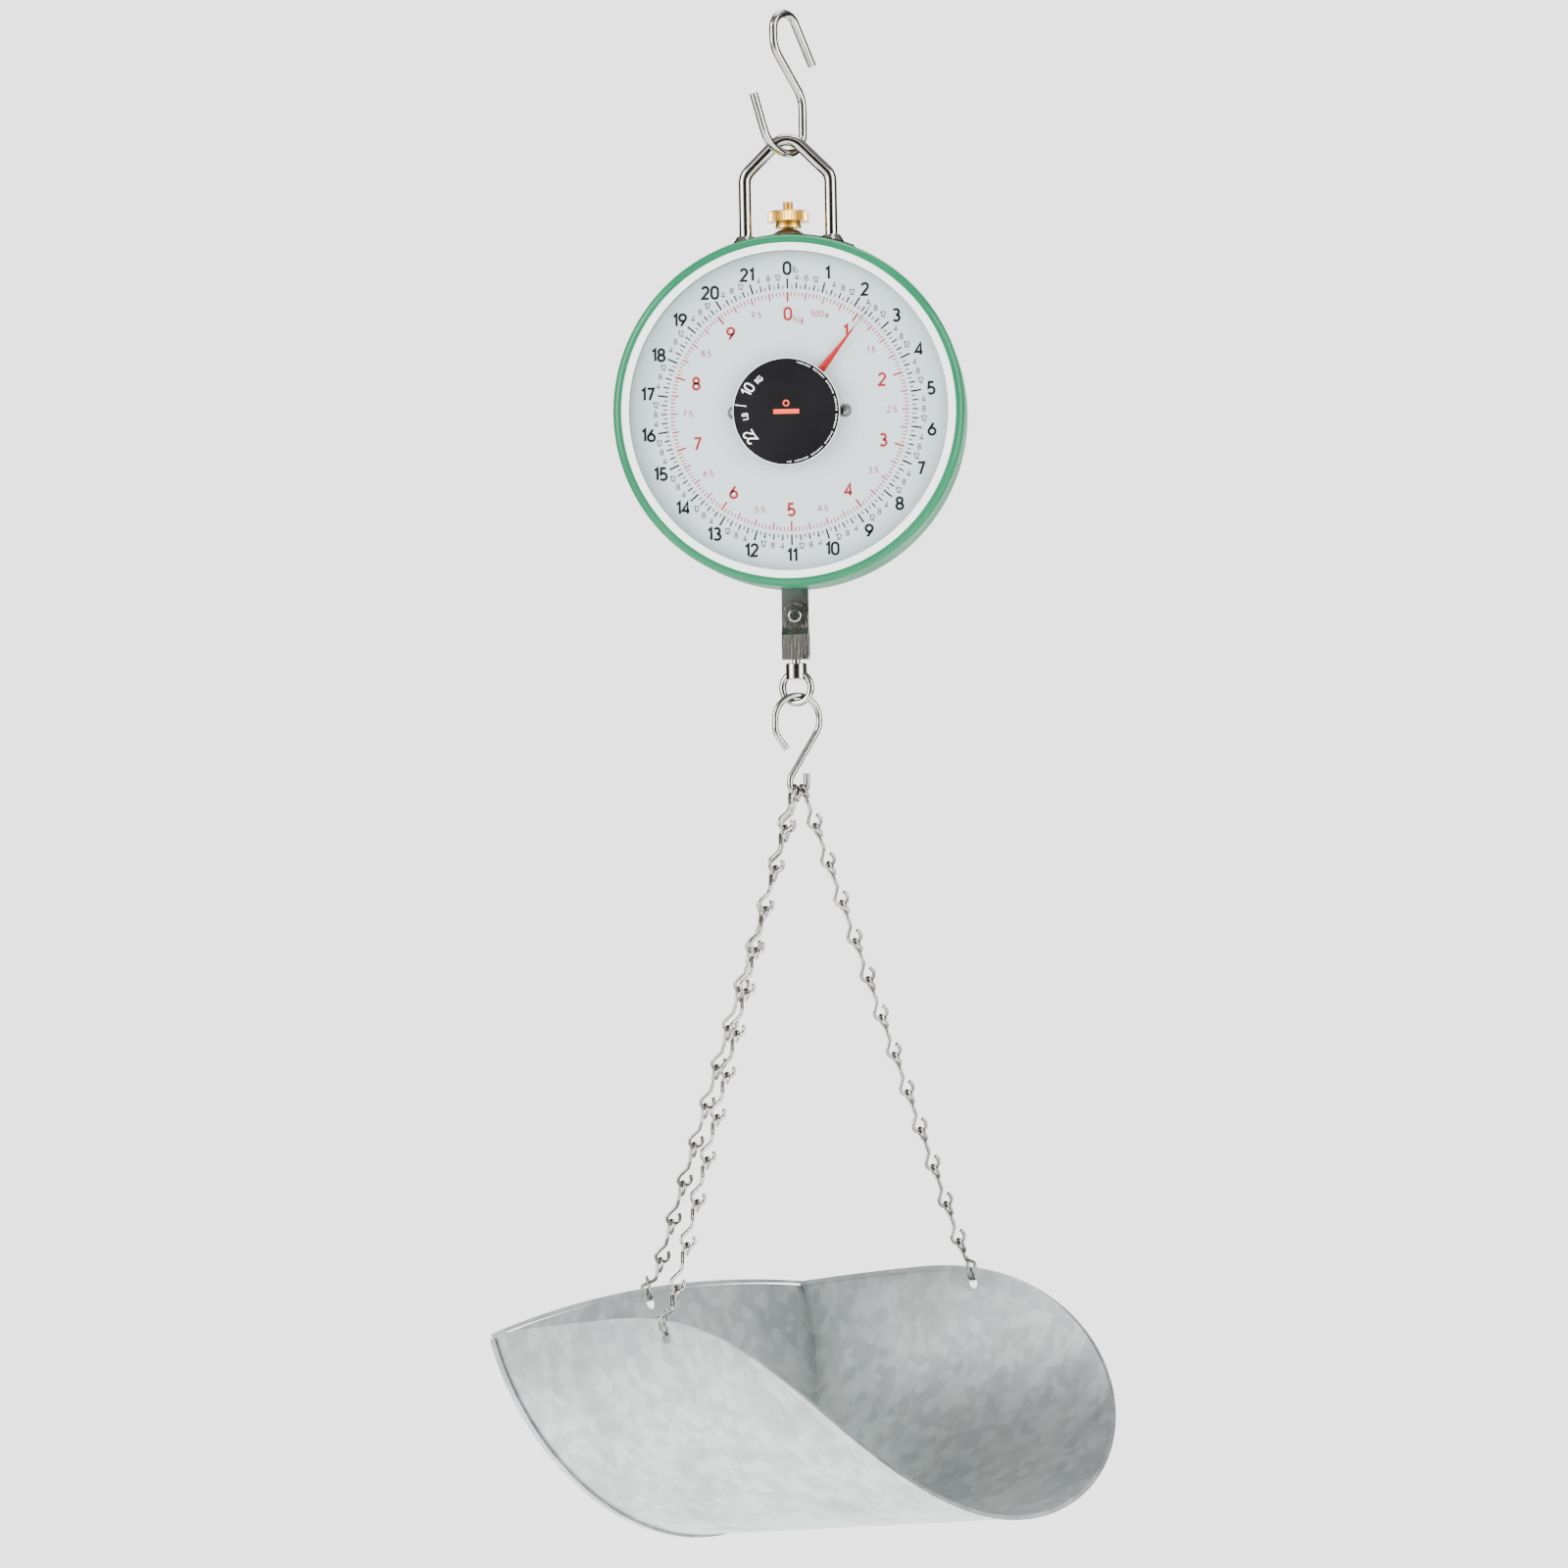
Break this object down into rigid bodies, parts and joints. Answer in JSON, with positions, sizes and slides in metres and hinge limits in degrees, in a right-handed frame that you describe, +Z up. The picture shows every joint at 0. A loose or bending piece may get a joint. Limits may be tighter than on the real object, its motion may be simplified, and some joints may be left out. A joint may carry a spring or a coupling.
{
  "type": "hanging spring scale",
  "caption": "Round dial spring scale that hangs from a hook and weighs goods in a galvanised scoop carried on three chains.",
  "frame": {"origin": "underside of the top hook's crown, where it rests on whatever the scale hangs from", "axes": "+Z up, the dial faces -Y, +X is to the reader's right"},
  "size_m": [0.3485, 0.3423, 0.8633],
  "materials": {
    "nickel_wire": "bright nickel plating with small scratches",
    "nickel_rod": "bright nickel plating, slightly dulled",
    "chain_nickel": "bright nickel plating",
    "zinc_steel": "zinc plated steel",
    "washer_steel": "dull plated steel",
    "spring_steel": "drawn spring wire",
    "stirrup_steel": "dark polished steel with vertical streaks",
    "galvanised": "galvanised sheet, mottled and lightly worn",
    "brass": "machined brass, slightly tarnished",
    "green_enamel": "glossy green enamel",
    "dial_white": "printed white enamel",
    "pointer_red": "red lacquer",
    "lens_clear": "clear glazing",
    "lens_edge": "pale translucent moulded edge",
    "badge_black": "glossy black print"
  },
  "bodies": {
    "top_hook": {"top_hook": "nickel_wire"},
    "head": {"bail": "nickel_rod", "bail_collars": "nickel_rod", "bail_nuts": "zinc_steel", "bail_spacers": "zinc_steel", "top_plate": "nickel_rod", "drum_shell": "green_enamel", "rear_cover": "green_enamel", "rear_posts": "zinc_steel", "rear_cover_screws": "zinc_steel", "lens": "lens_clear", "lens_ring": "lens_edge", "badge_disc": "badge_black", "dial_plate": "dial_white", "dial_screws": "zinc_steel", "dial_posts": "zinc_steel", "chassis": "zinc_steel", "bridge": "zinc_steel", "front_bush": "brass", "rear_bush": "brass", "dome_washer": "washer_steel"},
    "adjuster_nut": {"adjuster_nut": "brass"},
    "adjuster": {"adjuster_rod": "brass", "upper_yoke": "zinc_steel"},
    "pointer": {"pointer": "pointer_red", "pointer_hub": "brass", "pinion": "brass", "pinion_shaft": "zinc_steel"},
    "load": {"left_spring": "spring_steel", "right_spring": "spring_steel", "lower_yoke": "zinc_steel", "drawbar": "zinc_steel", "rack": "brass", "rack_screw": "zinc_steel", "stirrup": "stirrup_steel", "stirrup_washer": "zinc_steel", "stirrup_screw": "zinc_steel", "stirrup_nut": "zinc_steel"},
    "swivel": {"swivel_head": "nickel_rod"},
    "ring": {"swivel_ring": "nickel_wire"},
    "lower_hook": {"lower_hook": "nickel_wire"},
    "pan": {"pan_trough": "galvanised", "pan_back_plate": "galvanised", "pan_rim_bead": "galvanised", "pan_back_bead": "galvanised", "pan_seam": "galvanised", "chain_near": "chain_nickel", "chain_back": "chain_nickel", "chain_far": "chain_nickel"}
  },
  "joints": [
    {"name": "head_swing", "type": "hinge", "parent": "top_hook", "child": "head", "pos_m": [0, 0, -0.06835], "axis": [1, 0, 0], "range_deg": [-8, 8]},
    {"name": "adjuster_turn", "type": "hinge", "parent": "head", "child": "adjuster_nut", "pos_m": [0, 0, -0.11235], "axis": [0, 0, 1], "range_deg": [-360.72, 360.72]},
    {"name": "adjuster_travel", "type": "slide", "parent": "head", "child": "adjuster", "axis": [0, 0, 1], "range_m": [-0.001, 0.001]},
    {"name": "load_travel", "type": "slide", "parent": "head", "child": "load", "axis": [0, 0, -1], "range_m": [-0.00204, 0.01681], "stiffness_N_per_m": 5203, "springref_m": -0.00206, "deforming": ["left_spring", "right_spring"]},
    {"name": "pointer_turn", "type": "hinge", "parent": "head", "child": "pointer", "pos_m": [0, 0, -0.22235], "axis": [0, 1, 0], "range_deg": [-39.5, 322]},
    {"name": "swivel_turn", "type": "hinge", "parent": "load", "child": "swivel", "pos_m": [0, 0, -0.36015], "axis": [0, 0, 1], "continuous": true},
    {"name": "ring_swing", "type": "hinge", "parent": "swivel", "child": "ring", "pos_m": [0, 0, -0.36735], "axis": [0.9397, -0.342, 0], "range_deg": [-11, 11]},
    {"name": "hook_swing", "type": "hinge", "parent": "ring", "child": "lower_hook", "pos_m": [0, 0, -0.38455], "axis": [0.9397, -0.342, 0], "range_deg": [-15, 15]},
    {"name": "pan_swing", "type": "hinge", "parent": "lower_hook", "child": "pan", "pos_m": [0, 0, -0.43495], "axis": [0.9135, 0.4067, 0], "range_deg": [-12, 12]}
  ],
  "couplings": [
    {"joint": "pointer_turn", "follows": "load_travel", "rad_per_m": 333.33},
    {"joint": "adjuster_turn", "follows": "adjuster_travel", "rad_per_m": -6283.2}
  ]
}
